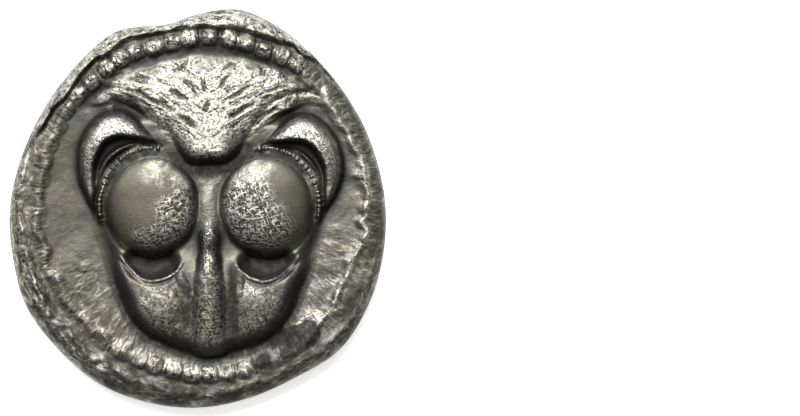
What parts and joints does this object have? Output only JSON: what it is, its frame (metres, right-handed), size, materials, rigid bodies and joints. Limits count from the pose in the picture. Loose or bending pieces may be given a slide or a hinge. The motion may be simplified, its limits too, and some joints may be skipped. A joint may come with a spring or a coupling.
{
  "type": "struck silver coin",
  "caption": "Ancient silver drachm, a thick uneven disc struck with a facing lion's scalp in a ring of beads, and a worn seated figure beneath.",
  "frame": {"origin": "middle of the bounding box, on the plane of the worn land that the coin lies on", "axes": "+Z out of the face with the lion's scalp, +Y from the scalp's chin to its crown, +X to the viewer's right when looking down on it"},
  "size_m": [0.0179, 0.019, 0.0028],
  "materials": {
    "toned_silver": "worn, dark-toned silver, satin on the high relief and near black in the hollows"
  },
  "bodies": {
    "root": {"coin": "toned_silver"}
  },
  "joints": []
}
